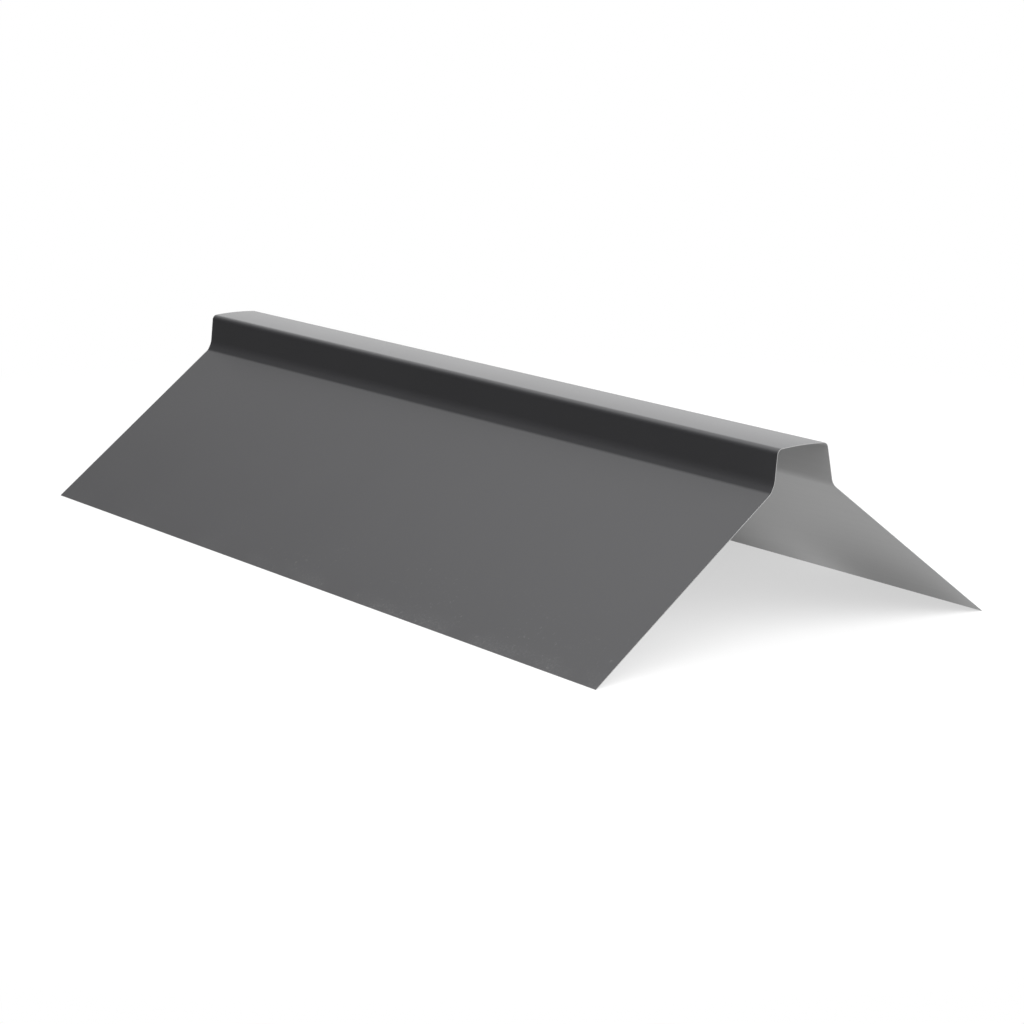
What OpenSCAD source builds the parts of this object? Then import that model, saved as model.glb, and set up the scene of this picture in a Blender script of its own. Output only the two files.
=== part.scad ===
// Ridge cap folded from one strip of coated steel sheet.
// X runs along the ridge, Y across it and Z up. The origin is the middle of the base,
// level with the lower edges of the two wings, on which the cap stands.

/* [Sheet] */
// Length of the cap along the ridge
cap_len = 1000; // [300:10:3000]
// Thickness of the coated sheet
sheet_t = 0.6; // [0.4:0.1:1.2]

/* [Crown] */
// Width of the crown, between the lines where its curve meets the faces of the upstands
crown_w = 60; // [40:1:150]
// Rise of the middle of the crown above those lines
crown_rise = 1.5; // [0.5:0.5:5]
// Outside radius of the bend from the crown into each upstand
shoulder_r = 8; // [2:0.5:12]

/* [Upstands] */
// Height of each upstand, from the fold line up to the corner line of the crown
upstand_h = 40; // [30:1:100]
// Lean of each upstand out of the vertical, in degrees
upstand_lean = 11; // [0:1:30]
// Inside radius of the fold between upstand and wing
fold_r = 8; // [2:0.5:15]

/* [Wings] */
// Width of each wing down its slope, from the fold line to its lower edge
wing_w = 248; // [80:1:400]
// Fall of each wing below the horizontal, in degrees
wing_fall = 37; // [10:1:55]

/* [Hidden] */
$fn = 360;

// How far shapes that are joined or cut run into or past each other
overlap = 5;
// What is added to the radius of a bend, so that its arc surely crosses the faces it touches
bite = 0.001;

// The section is drawn with the middle of the crown's top face at its origin. A stretch of the
// strip is told by its fall: the angle at which it runs down and outwards.
upstand_fall = 90 - upstand_lean;

// Unit vectors, for the half at +Y: along a stretch, and out of its top face
function run(fall) = [cos(fall), -sin(fall)];
function face(fall) = [sin(fall), cos(fall)];

// Corner lines of the top face, before the bends round them
corner = [crown_w / 2, -crown_rise];
fold = corner + upstand_h / cos(upstand_lean) * run(upstand_fall);
edge = fold + wing_w * run(wing_fall);
crown_z = sheet_t * cos(wing_fall) - edge[1];

// The crown is one arc through both corner lines and its own middle.
crown_r = (pow(crown_w / 2, 2) + pow(crown_rise, 2)) / (2 * crown_rise);

// The shoulder bend touches the crown's arc, where that has turned far enough, and the
// upstand's face.
corner_reach = (corner + [0, crown_r]) * face(upstand_fall);
crown_turn = asin((corner_reach - shoulder_r) / (crown_r - shoulder_r)) - upstand_lean;
shoulder_centre = (crown_r - shoulder_r) * face(crown_turn) - [0, crown_r];

// The fold touches the faces of the upstand and the wing.
fold_bisector = (face(upstand_fall) + face(wing_fall)) / (1 + cos(upstand_fall - wing_fall));
fold_centre = fold + fold_r * fold_bisector;

// Draws its children on both sides of the ridge
module both_sides() {
    children();
    mirror([1, 0])
        children();
}

// Block between the faces of two like stretches, from a point on the face to another
module block(top, foot) {
    polygon([top, foot, [-foot[0], foot[1]], [-top[0], top[1]]]);
}

// What lies between a bend's arc and the corner that it rounds. The reach is negative where
// the centre of the bend is above the strip.
module corner_of_bend(reach, fall_1, fall_2, r) {
    difference() {
        polygon([[0, 0], reach * face(fall_1), reach * (face(fall_1) + face(fall_2)),
                 reach * face(fall_2)]);
        circle(r = r + bite);
    }
}

// All of the section that lies under the strip's top face, or deeper by the given depth
module under_face(depth) {
    difference() {
        block(corner - depth * face(upstand_fall) - (crown_rise + overlap) * run(upstand_fall),
              fold - depth * face(upstand_fall) + overlap * run(upstand_fall));
        difference() {
            translate([-crown_w, -crown_rise - depth])
                square([2 * crown_w, 2 * (crown_rise + overlap)]);
            translate([0, -crown_r])
                circle(r = crown_r - depth);
        }
        both_sides()
            translate(shoulder_centre)
                corner_of_bend(2 * shoulder_r, crown_turn, upstand_fall, shoulder_r - depth);
    }
    block(fold - depth * face(wing_fall) - overlap * run(wing_fall),
          edge - depth * face(wing_fall) + 2 * overlap * run(wing_fall));
    both_sides()
        translate(fold_centre)
            corner_of_bend(-2 * fold_r, wing_fall, upstand_fall, fold_r + depth);
}

// Section of the strip, with both edges cut square to the sheet
module section() {
    difference() {
        under_face(0);
        under_face(sheet_t);
        both_sides()
            translate(edge)
                rotate(-wing_fall)
                    translate([0, -overlap])
                        square([4 * overlap, 2 * overlap]);
    }
}

module ridge_cap() {
    color([0.37, 0.38, 0.39])
        translate([0, 0, crown_z])
            rotate([90, 0, 90])
                linear_extrude(height = cap_len, center = true)
                    section();
}

ridge_cap();
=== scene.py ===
# %% [markdown]
# # A ridge cap folded from coated steel sheet
#
# A ridge cap closes the top of a pitched roof. This one is a single strip of steel, 0.6 mm
# thick, bent along its length: a low crown in the middle, an upstand on each side of it that
# lifts the crown over the ridge batten, and two wide wings that lie on the roof.
#
# The imported CAD model is loaded first. It fixes every size, and the scene only dresses it, so
# its box is kept here.

# %% Load the frame
from math import asin, atan2, cos, degrees, pi, radians, sin, tan

import bmesh
import bpy
from mathutils import Matrix, Vector, noise


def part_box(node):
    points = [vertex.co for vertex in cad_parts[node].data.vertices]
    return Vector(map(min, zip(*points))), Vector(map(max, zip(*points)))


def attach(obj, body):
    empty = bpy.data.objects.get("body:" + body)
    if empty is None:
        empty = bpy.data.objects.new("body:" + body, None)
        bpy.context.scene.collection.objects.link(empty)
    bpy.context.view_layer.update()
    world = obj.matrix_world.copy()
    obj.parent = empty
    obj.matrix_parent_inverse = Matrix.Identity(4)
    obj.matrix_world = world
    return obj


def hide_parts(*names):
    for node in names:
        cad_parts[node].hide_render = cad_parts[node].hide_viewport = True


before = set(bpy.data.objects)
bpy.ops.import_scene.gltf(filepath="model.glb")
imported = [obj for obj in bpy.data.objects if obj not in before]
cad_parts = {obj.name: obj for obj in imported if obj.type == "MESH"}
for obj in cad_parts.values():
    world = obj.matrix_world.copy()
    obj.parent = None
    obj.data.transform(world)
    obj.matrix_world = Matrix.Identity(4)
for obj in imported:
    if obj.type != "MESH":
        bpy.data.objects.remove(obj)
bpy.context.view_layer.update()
low, high = (Vector(corner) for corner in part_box("ridge_cap"))
print("ridge cap, mm:", [round(1000 * side, 1) for side in high - low])

# %% [markdown]
# ## The camera
#
# A camera can be placed by eye, or solved. The straight edges of a folded sheet are easy to
# measure in a photograph, and a least-squares fit to them gives the place, the direction and
# the focal length together. A long lens stands 3 m away, a little above the crown, and looks
# at the open right end.
#
# Blender's camera looks down its own -Z axis, with +X to the right of the picture. The three
# axes below are the columns of its rotation.

# %% Place the camera
azimuth = radians(53.89)
elevation = radians(12.466)
lens_mm = 102.07

back = Vector((sin(azimuth) * cos(elevation), -cos(azimuth) * cos(elevation), sin(elevation)))
right = Vector((cos(azimuth), sin(azimuth), 0))
up = back.cross(right)

camera = bpy.data.objects.new("camera", bpy.data.cameras.new("camera"))
camera.matrix_world = (Matrix.Translation((2.4285, -1.7328, 0.6987))
                       @ Matrix((right, up, back)).transposed().to_4x4())
camera.data.sensor_width = 36
camera.data.lens = lens_mm
camera.data.clip_start = 0.05
bpy.context.scene.collection.objects.link(camera)
bpy.context.scene.camera = camera
print("camera to the crown's middle, m:", round((camera.matrix_world.translation
                                                 - Vector((0, 0, high.z))).length, 2))

# %% [markdown]
# ## The sizes of the section
#
# A folder thinks of a strip as flat stretches and the bends between them. A stretch is told
# here by its fall, the angle at which it runs down and outwards, so two small functions give
# the direction along a stretch and the direction out of its top face. Everything is in metres
# and in the YZ plane, which the section lies in.

# %% Sizes, in metres and radians
sheet_t = 0.0006
crown_w = 0.060
crown_rise = 0.00139
shoulder_r = 0.006
upstand_h = 0.040
upstand_lean = radians(11)
wing_w = 0.248
wing_fall = radians(37)


def run(fall):
    return Vector((0, cos(fall), -sin(fall)))


def face(fall):
    return Vector((0, sin(fall), cos(fall)))


# %% [markdown]
# The corner lines are where the faces of two stretches would meet if the bends were sharp. The
# crown's corner, the fold and the lower edge are the CAD model's own.
#
# Its upstands are one flat each. On the real sheet the last 9 mm of the near one kick out,
# because a folding beam pressed its foot before it made the fold. The kick shows as a paler
# band along the foot. So the near side gets one more corner line, the knee, 9 mm up from the
# fold, and the rest of its upstand runs from the crown's corner to the knee.

# %% Corner lines
foot_w = 0.009
foot_fall = radians(61)

corner = Vector((0, crown_w / 2, -crown_rise))
fold = corner + Vector((0, upstand_h * tan(upstand_lean), -upstand_h))
knee = fold - foot_w * run(foot_fall)
edge = fold + wing_w * run(wing_fall)
crown_top = Vector((0, 0, sheet_t * cos(wing_fall) - edge.z))
print("top of the crown, mm:", round(1000 * crown_top.z, 2))

# %% [markdown]
# A bend that opens upwards has its centre above the sheet, on the line that halves its corner.
# The crown is one flat arc from corner to corner, and the shoulder bend touches that arc and
# the face of the upstand from below. The near fold is a little sharper than the CAD model's
# 8 mm, and the far one, which shows as a soft edge on the underside, is blunter.

# %% Bend centres
knee_r = 0.022
near_fold_r = 0.007
far_fold_r = 0.014
crown_r = ((crown_w / 2) ** 2 + crown_rise ** 2) / (2 * crown_rise)
crown_centre = Vector((0, 0, -crown_r))


def centre_above(point, r, fall_1, fall_2):
    return point + r * (face(fall_1) + face(fall_2)) / (1 + cos(fall_1 - fall_2))


def crown_end(upstand_fall):
    reach = (corner - crown_centre).dot(face(upstand_fall)) - shoulder_r
    return upstand_fall - (pi / 2 - asin(reach / (crown_r - shoulder_r)))


print("the crown's arc:", round(1000 * crown_r), "mm radius, turning",
      round(degrees(crown_end(pi / 2 - upstand_lean)), 1), "degrees to its shoulder")

# %% [markdown]
# ## Folding the strip
#
# The sheet could be a Solidify on a drawn outline, or a box pushed into shape. A folder works
# the other way: it starts with a flat strip and bends it line by line. The same can be done
# here. One edge lies along the ridge in the middle of the crown, and each step moves its copy
# on: a spin makes a bend, and an extrude makes a flat. What is swept is one half of the top
# face, and it has exactly the bends of the section.
#
# A rotation about +X takes +Y to +Z, so a bend that turns down towards +Y has a minus sign.

# %% Helpers that carry the strip on
def bend(bm, edges, centre, turn, steps):
    made = bmesh.ops.spin(bm, geom=edges, cent=centre, axis=(1, 0, 0), angle=turn, steps=steps)
    return [item for item in made["geom_last"] if isinstance(item, bmesh.types.BMEdge)]


def flat(bm, edges, way, steps):
    for _ in range(steps):
        made = bmesh.ops.extrude_edge_only(bm, edges=edges)["geom"]
        points = [item for item in made if isinstance(item, bmesh.types.BMVert)]
        bmesh.ops.translate(bm, verts=points, vec=way / steps)
        edges = [item for item in made if isinstance(item, bmesh.types.BMEdge)
                 and all(point in points for point in item.verts)]
    return edges


# %% [markdown]
# The first edge is cut into 40 lengths, so that the wings get near-square faces of 25 mm. They
# carry the slight waviness of rolled sheet later. One function folds a half: it is told the
# corner lines from the crown's corner down to the edge, and the radii of the bends that open
# upwards. A bend gets more steps the further it turns, and the crown gets enough for its arc to
# look round from the open end.

# %% Fold the near half of the top face
lengths = 40
crown_steps, shoulder_steps, bend_steps = 12, 16, 8
upstand_steps, wing_steps = 2, 10


def fold_half(bm, points, radii):
    falls = [atan2(start.z - end.z, end.y - start.y) for start, end in zip(points, points[1:])]
    ends = [bm.verts.new((side, 0, 0)) for side in (low.x, high.x)]
    cut = bmesh.ops.subdivide_edges(bm, edges=[bm.edges.new(ends)], cuts=lengths - 1)
    line = list({side for item in cut["geom_inner"] if isinstance(item, bmesh.types.BMVert)
                 for side in item.link_edges})

    crown_turn = crown_end(falls[0])
    shoulder = crown_centre + (crown_r - shoulder_r) * face(crown_turn)
    line = bend(bm, line, crown_centre, -crown_turn, crown_steps)
    line = bend(bm, line, shoulder, crown_turn - falls[0], shoulder_steps)
    here = shoulder + shoulder_r * face(falls[0])

    for point, r, before, after in zip(points[1:], radii, falls, falls[1:]):
        centre = centre_above(point, r, before, after)
        line = flat(bm, line, centre - r * face(before) - here, upstand_steps)
        line = bend(bm, line, centre, before - after, bend_steps)
        here = centre - r * face(after)
    flat(bm, line, points[-1] - here, wing_steps)
    print("upstand leans", round(90 - degrees(falls[0]), 1), "degrees, wing starts at",
          round(1000 * here.y, 1), "mm from the middle")
    return here.y


strip = bmesh.new()
near_wing_y = fold_half(strip, [corner, knee, fold, edge], [knee_r, near_fold_r])

# %% [markdown]
# Both halves are folded towards +Y, so the near one is turned over to -Y by a scale of -1. That
# leaves it inside out, so the normals are worked out again on the whole strip, and turned if
# the crown's points down.

# %% Turn it over, fold the far half and lift the strip to its height
bmesh.ops.scale(strip, verts=strip.verts, vec=(1, -1, 1))
far_wing_y = fold_half(strip, [corner, fold, edge], [far_fold_r])
bmesh.ops.remove_doubles(strip, verts=strip.verts, dist=1e-6)
bmesh.ops.translate(strip, verts=strip.verts, vec=crown_top)
bmesh.ops.recalc_face_normals(strip, faces=strip.faces)
highest = max(strip.faces, key=lambda piece: piece.calc_center_median().z)
if highest.normal.z < 0:
    bmesh.ops.reverse_faces(strip, faces=strip.faces)
print("whole top face:", len(strip.faces), "faces, crown normal:", highest.normal[:])

# %% [markdown]
# ## The waviness of a wide flat
#
# No wide flat in thin sheet is truly flat. The coil leaves slow waves in it that show only in
# how the light slides over the paint. Bump could fake them, but real waves also move the
# reflections at the edge of the sheet, so the points themselves move, by up to 0.3 mm. The
# bends and the cut edges hold the sheet straight, so the waves fade out over the last 50 to
# 60 mm before each of them. A wave is about 300 mm long and 150 mm wide.

# %% Waves in the wings
wave = 0.0003
fold_hold, rim_hold, end_hold = 0.06, 0.05, 0.06
straight_rim = 0.01


def fade(distance, reach):
    part = min(max(distance / reach, 0), 1)
    return part * part * (3 - 2 * part)


for point in strip.verts:
    wing_y = near_wing_y if point.co.y < 0 else far_wing_y
    if abs(point.co.y) <= wing_y + 1e-6:
        continue
    down = (abs(point.co.y) - wing_y) / cos(wing_fall)
    hold = (fade(down, fold_hold) * fade(wing_w - straight_rim - down, rim_hold)
            * fade(high.x - abs(point.co.x), end_hold))
    place = Vector((3.1 * point.co.x, 6 * point.co.y, 4.7))
    point.co += wave * hold * noise.noise(place) * point.normal
print("waves of up to", 1000 * wave, "mm")

# %% [markdown]
# ## Thickness
#
# Solidify gives the sheet its 0.6 mm. It keeps the faces that were drawn and adds a copy of
# them on the other side, with a rim between the two. The drawn faces get the top coat. The rim
# is told from the backing coat by its place: it looks along X at the two ends, and lies at the
# very edge of the wings.

# %% Give the sheet its thickness
top_faces = set(strip.faces)
bmesh.ops.solidify(strip, geom=list(strip.faces), thickness=sheet_t)
print("height of the shell, mm:", [round(1000 * value, 3) for value in
      (min(point.co.z for point in strip.verts), max(point.co.z for point in strip.verts))])

# %% [markdown]
# A cutter leaves no knife-sharp corner. A bevel of 0.06 mm along every corner of the cut edges
# is far too small to see as a shape, but it catches the light as the thin bright line that
# tells the eye how thin the sheet is.

# %% Sort the faces by finish and ease the cut corners
TOP_COAT, BACK_COAT, CUT_EDGE = range(3)
eased = 0.00006
strip.normal_update()
for piece in strip.faces:
    if piece in top_faces:
        piece.material_index = TOP_COAT
    elif abs(piece.normal.x) > 0.9 or abs(piece.calc_center_median().y) > edge.y - sheet_t:
        piece.material_index = CUT_EDGE
    else:
        piece.material_index = BACK_COAT

corners = [side for side in strip.edges
           if len({piece.material_index for piece in side.link_faces}) == 2]
bmesh.ops.bevel(strip, geom=corners, offset=eased, offset_type="OFFSET", segments=2,
                profile=0.5, affect="EDGES", material=-1)
for piece in strip.faces:
    piece.smooth = True
counts = [sum(piece.material_index == slot for piece in strip.faces) for slot in range(3)]
print("faces of top coat, backing coat and cut edge:", counts)

# %% [markdown]
# Smooth shading takes the normal of a point from all the faces round it. Where a narrow bend
# meets a wide flat, that bends the light on the whole first row of the flat. The Weighted
# Normal modifier lets the larger face decide, so the flat stays flat up to its bend.

# %% Make the sheet's object
mesh = bpy.data.meshes.new("folded_sheet")
strip.to_mesh(mesh)
strip.free()
sheet = bpy.data.objects.new("folded_sheet", mesh)
bpy.context.scene.collection.objects.link(sheet)
weighted = sheet.modifiers.new("weighted_normals", "WEIGHTED_NORMAL")
weighted.mode = "FACE_AREA"
weighted.keep_sharp = True

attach(sheet, "root")
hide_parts("ridge_cap")
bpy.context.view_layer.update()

# %% [markdown]
# ## Writing materials as sums
#
# A node tree is a sum written as boxes. The class below wraps an output socket, and each
# operator adds the Math node that it stands for, so that a mask reads as a line of arithmetic.
# Its reflected forms let a plain number stand on the left, as in 1 - mask.

# %% Arithmetic on sockets
class Value:
    def __init__(self, paint, socket):
        self.paint = paint
        self.socket = socket

    def maths(self, operation, left, right):
        return self.paint.node("ShaderNodeMath", {"operation": operation},
                               {0: left, 1: right}, "Value")

    def __add__(self, other):
        return self.maths("ADD", self, other)

    def __sub__(self, other):
        return self.maths("SUBTRACT", self, other)

    def __rsub__(self, other):
        return self.maths("SUBTRACT", other, self)

    def __mul__(self, other):
        return self.maths("MULTIPLY", self, other)

    __radd__ = __add__
    __rmul__ = __mul__


# %% [markdown]
# The second class is the node tree itself, of a material or of the world. Its first method adds
# any node: the settings are set first, because they decide which sockets the node has, then
# each input gets a number, a colour or a link. The other methods are the four sums that the
# finishes below share: a noise, a soft step from one value to another, a blend of two colours,
# and the rays that look at the white background.

# %% A node tree to write in
class Paint:
    def __init__(self, owner):
        owner.use_nodes = True
        self.tree = owner.node_tree
        self.tree.nodes.clear()

    def node(self, kind, settings=None, inputs=None, output=None):
        made = self.tree.nodes.new(kind)
        for name, setting in (settings or {}).items():
            setattr(made, name, setting)
        for name, value in (inputs or {}).items():
            if isinstance(value, Value):
                self.tree.links.new(value.socket, made.inputs[name])
            else:
                made.inputs[name].default_value = value
        return Value(self, made.outputs[output or 0]) if len(made.outputs) else None

    def noise(self, place, scale, detail=2, roughness=0.5):
        return self.node("ShaderNodeTexNoise", None,
                         {"Vector": place, "Scale": scale, "Detail": detail,
                          "Roughness": roughness}, "Fac")

    def range(self, value, from_low, from_high, to_low, to_high):
        return self.node("ShaderNodeMapRange", {"interpolation_type": "SMOOTHSTEP"},
                         {"Value": value, "From Min": from_low, "From Max": from_high,
                          "To Min": to_low, "To Max": to_high}, "Result")

    def mix(self, mask, first, second):
        return self.node("ShaderNodeMix", {"data_type": "RGBA"},
                         {0: mask, 6: first, 7: second}, 2)

    def background_rays(self, behind):
        camera = self.node("ShaderNodeLightPath", None, None, "Is Camera Ray")
        glass = self.node("ShaderNodeLightPath", None, None, "Is Transmission Ray")
        shine = self.node("ShaderNodeLightPath", None, None, "Is Glossy Ray")
        return camera + glass + shine * behind


# %% [markdown]
# Greys are easier to choose as the levels of 0 to 255 that a screen shows, but shaders count in
# linear light. So a small function turns a level into a linear colour, with a few levels more
# blue where a coat has a cold tint. Each finish then takes the next slot of the sheet, in the
# order in which the faces were sorted.

# %% Greys and slots
def grey(level, blue=0):
    def linear(part):
        part /= 255
        return part / 12.92 if part < 0.04045 else ((part + 0.055) / 1.055) ** 2.4
    return (linear(level), linear(level), linear(level + blue), 1)


def new_material(name, index):
    material = bpy.data.materials.new(name)
    sheet.data.materials.append(material)
    assert sheet.data.materials[index] == material
    print("slot", index, "of the sheet:", name)
    return Paint(material)


# %% [markdown]
# ## The top coat
#
# The coil is coated before it is folded: a zinc layer, a primer and about 35 micrometres of
# satin polyester, here a dark neutral grey. A flat colour would look like plastic, because a
# real coat has a very fine grain, slow changes of tone where it was rolled on, and a little
# dust from the yard. The dust lies low on the wings: loose specks, and along the very edge
# that stood on the ground a band of fine scuffs, most of it towards the right end. All of it
# is drawn on Object coordinates, which are metres here, so each noise scale is about the number
# of spots in a metre.

# %% Top coat
coat = new_material("dark_grey_satin_coat", TOP_COAT)
place = coat.node("ShaderNodeTexCoord", None, None, "Object")
spread = coat.noise(place, 7, 3)
grain = coat.noise(place, 1400, 2)
peel = coat.noise(place, 260, 2)
height = coat.node("ShaderNodeSeparateXYZ", None, {0: place}, "Z")
along = coat.node("ShaderNodeSeparateXYZ", None, {0: place}, "X")
specks = (coat.range(coat.noise(place, 220, 4, 0.62), 0.6, 0.74, 0, 0.3)
          * coat.range(height, 0.0, 0.06, 1, 0))
scuffs = (coat.range(coat.noise(place, 520, 3, 0.6), 0.46, 0.68, 0.015, 0.13)
          * coat.range(height, 0.002, 0.015, 1, 0))
patches = coat.range(coat.noise(place, 16, 2), 0.4, 0.6, 0, 1)
dust = (specks + scuffs) * patches * coat.range(along, -0.3, 0.2, 0.3, 1)

tone = coat.mix(spread, grey(59, 2), grey(65, 2))
tone = coat.mix(grain * 0.3, tone, grey(75, 2))
tone = coat.mix(dust, tone, grey(150))
rough = 0.29 + 0.04 * spread + 0.25 * dust + 0.03 * grain
bump = coat.node("ShaderNodeBump", None,
                 {"Height": 0.3 * grain + 0.7 * peel, "Strength": 0.35, "Distance": 0.00004},
                 "Normal")
surface = coat.node("ShaderNodeBsdfPrincipled", None,
                    {"Base Color": tone, "Roughness": rough, "Normal": bump, "IOR": 1.5})
coat.node("ShaderNodeOutputMaterial", None, {"Surface": surface})

# %% [markdown]
# ## The backing coat
#
# The side that is not seen gets a thin epoxy primer only, about 7 micrometres. It is paler,
# flatter in sheen and less even than the top coat, and shows the long streaks of the rollers.

# %% Backing coat
backing = new_material("pale_grey_backing_coat", BACK_COAT)
place = backing.node("ShaderNodeTexCoord", None, None, "Object")
rolled = backing.node("ShaderNodeMapping", None, {"Vector": place, "Scale": (1, 40, 40)},
                      "Vector")
streaks = backing.noise(rolled, 5, 3)
cloud = backing.noise(place, 11, 2)
grain = backing.noise(place, 1400, 2)
tone = backing.mix(streaks * 0.6 + cloud * 0.4, grey(164), grey(176))
bump = backing.node("ShaderNodeBump", None,
                    {"Height": grain, "Strength": 0.3, "Distance": 0.00003}, "Normal")
surface = backing.node("ShaderNodeBsdfPrincipled", None,
                       {"Base Color": tone, "Roughness": 0.5 + 0.08 * cloud, "Normal": bump,
                        "IOR": 1.45})
backing.node("ShaderNodeOutputMaterial", None, {"Surface": surface})

# %% [markdown]
# ## The cut edges
#
# Shears cut through coat, zinc and steel, and smear a little zinc over the cut. The edge is
# bare metal, with fine lines across the thickness of the sheet.

# %% Cut edge
cut = new_material("bare_cut_edge", CUT_EDGE)
place = cut.node("ShaderNodeTexCoord", None, None, "Object")
lines = cut.noise(place, 900, 2)
tone = cut.mix(lines, grey(172), grey(204))
surface = cut.node("ShaderNodeBsdfPrincipled", None,
                   {"Base Color": tone, "Roughness": 0.3 + 0.2 * lines, "Metallic": 1.0})
cut.node("ShaderNodeOutputMaterial", None, {"Surface": surface})

# %% [markdown]
# ## The floor
#
# The sheet stands on a pale table that glows a little, like a table lit from below, as
# photographers use to keep the underside of a product bright. The light that this glow sends
# onto the sheet is painted light: the table is an emitter, not a lamp. To the camera the table
# is part glow and part plain diffuse surface, so the shadow stays, but soft. Far from the sheet
# it fades into pure white, so that no horizon shows.

# %% Floor
floor_reach = 40
ground = bmesh.new()
bmesh.ops.create_grid(ground, x_segments=1, y_segments=1, size=floor_reach)
floor_mesh = bpy.data.meshes.new("floor")
ground.to_mesh(floor_mesh)
ground.free()
floor = bpy.data.objects.new("floor", floor_mesh)
bpy.context.scene.collection.objects.link(floor)
print("floor:", 2 * floor_reach, "m square")

# %% What the camera sees of the table
floor_material = bpy.data.materials.new("pale_table")
floor_mesh.materials.append(floor_material)
table = Paint(floor_material)
place = table.node("ShaderNodeTexCoord", None, None, "Object")
away = table.node("ShaderNodeVectorMath", {"operation": "LENGTH"}, {0: place}, "Value")
glow = table.node("ShaderNodeEmission", None, {"Color": (1, 1, 1, 1), "Strength": 1.0})
matt = table.node("ShaderNodeBsdfDiffuse", None, {"Color": (0.86, 0.86, 0.86, 1)})
near_look = table.node("ShaderNodeMixShader", None, {0: 0.55, 1: matt, 2: glow})
look = table.node("ShaderNodeMixShader", None,
                  {0: table.range(away, 0.65, 1.3, 0, 1), 1: near_look, 2: glow})

# %% [markdown]
# The Light Path node tells the rays apart. Those from the camera and those through glass see
# that look, and mirrored rays see it too in the half behind the sheet. All other rays see a
# glow with a strength of its own, which is painted light, not light bounced from the lamps. It
# is dim in front of the sheet, as if a studio had laid a dark cloth there, to keep the upstand
# dark, and grows towards the open end, which lights the underside. A painted paler stretch
# inside and a painted darker stretch nearer the end give the far wing its two soft tones.

# %% What the table lights
across = table.node("ShaderNodeSeparateXYZ", None, {0: place}, "Y")
along = table.node("ShaderNodeSeparateXYZ", None, {0: place}, "X")
open_end = table.range(along, 0.0, 0.65, 0, 1)
# painted light and shade: a paler stretch of the glow inside the cap and a darker one nearer
# the open end
inside = table.range(along, 0.08, 0.24, 0, 0.34) * table.range(along, 0.26, 0.4, 1, 0)
shade = (table.range(across, 0.06, 0.2, 0, 0.34) * table.range(along, 0.26, 0.36, 0, 1)
         * table.range(along, 0.44, 0.54, 1, 0))
strength = (table.range(across, -0.5, -0.1, 0.1, 0.26 + 0.66 * open_end)
            * (1 + inside) * (1 - shade))
# painted light: the table sends this glow onto the sheet, with no lamp behind it
painted_glow = table.node("ShaderNodeEmission", None,
                    {"Color": table.mix(strength, (0, 0, 0, 1), (1, 1, 1, 1)), "Strength": 1.0})
back_half = table.range(across, 0.2, 0.6, 0, 1)
table.node("ShaderNodeOutputMaterial", None,
           {"Surface": table.node("ShaderNodeMixShader", None,
                                  {0: table.background_rays(back_half), 1: painted_glow, 2: look})})

# %% [markdown]
# ## World and lamps
#
# The world is pure white to the camera, through glass and to mirrored rays that leave
# backwards. As light, it is bright behind the sheet and overhead, and dim in front, which keeps
# the upstand dark. A very large softbox high above the open end lights the near wing, and a
# smaller weak one low behind the sheet gives the crown its sheen.

# %% World
world = bpy.data.worlds.new("studio")
bpy.context.scene.world = world
sky = Paint(world)
way = sky.node("ShaderNodeTexCoord", None, None, "Object")
behind = sky.range(sky.node("ShaderNodeSeparateXYZ", None, {0: way}, "Y"), -0.1, 0.45, 0, 1)
above = sky.range(sky.node("ShaderNodeSeparateXYZ", None, {0: way}, "Z"), 0.42, 0.74, 0, 1)
front_light, back_light, top_light = 0.06, 1.5, 1.55
strength = (front_light + back_light * behind * (1 - 0.6 * above)
            + top_light * above * (1 - behind))
light = sky.node("ShaderNodeBackground", None, {"Color": (1, 1, 1, 1), "Strength": strength})
white = sky.node("ShaderNodeBackground", None, {"Color": (1, 1, 1, 1), "Strength": 1.0})
sky.node("ShaderNodeOutputWorld", None,
         {"Surface": sky.node("ShaderNodeMixShader", None,
                              {0: sky.background_rays(behind), 1: light, 2: white})})
print("world light:", front_light, "in front,", back_light, "more behind,", top_light,
      "more overhead")


# %% Lamps
def softbox(name, place, target, size, watts):
    lamp = bpy.data.lights.new(name, "AREA")
    lamp.shape = "RECTANGLE"
    lamp.size, lamp.size_y = size
    lamp.energy = watts
    holder = bpy.data.objects.new(name, lamp)
    way = Vector(target) - Vector(place)
    holder.location = place
    holder.rotation_euler = way.to_track_quat("-Z", "Y").to_euler()
    bpy.context.scene.collection.objects.link(holder)
    print("softbox", name, "of", watts, "W,", round(way.length, 1), "m away")


softbox("above", place=(2.4, -0.1, 2.4), target=(0.1, 0, 0), size=(2.8, 3.2), watts=92)
softbox("behind", place=(-2.4, 1.8, 1.04), target=(0, 0, 0.19), size=(2.2, 1.4), watts=4.5)

bpy.context.scene.view_settings.view_transform = "Standard"
